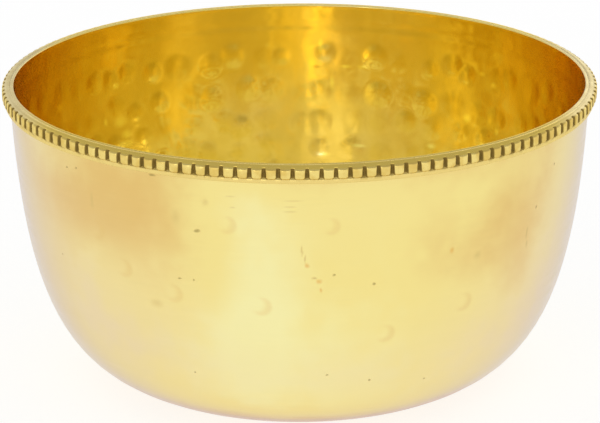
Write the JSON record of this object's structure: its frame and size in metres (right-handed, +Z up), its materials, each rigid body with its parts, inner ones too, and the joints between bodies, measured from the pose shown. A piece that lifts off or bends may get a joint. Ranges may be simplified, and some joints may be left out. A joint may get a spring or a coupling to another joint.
{
  "type": "bowl",
  "caption": "Hand-raised brass bowl with a flat base, upright mouth and beaded rim strip soldered round the outside of the mouth.",
  "frame": {"origin": "centre of the flat base, where the bowl rests", "axes": "+Z up along the axis of the bowl, out of its mouth; -Y is the side that faces the viewer"},
  "size_m": [0.152, 0.152, 0.078],
  "materials": {
    "hammered_brass": "hammered inside, satin polished outside",
    "rim_brass": "rolled beading, polished crowns and dark notches",
    "solder": "dull brazed seam"
  },
  "bodies": {
    "root": {"bowl_body": "hammered_brass", "solder_seam": "solder", "beaded_rim": "rim_brass"}
  },
  "joints": []
}
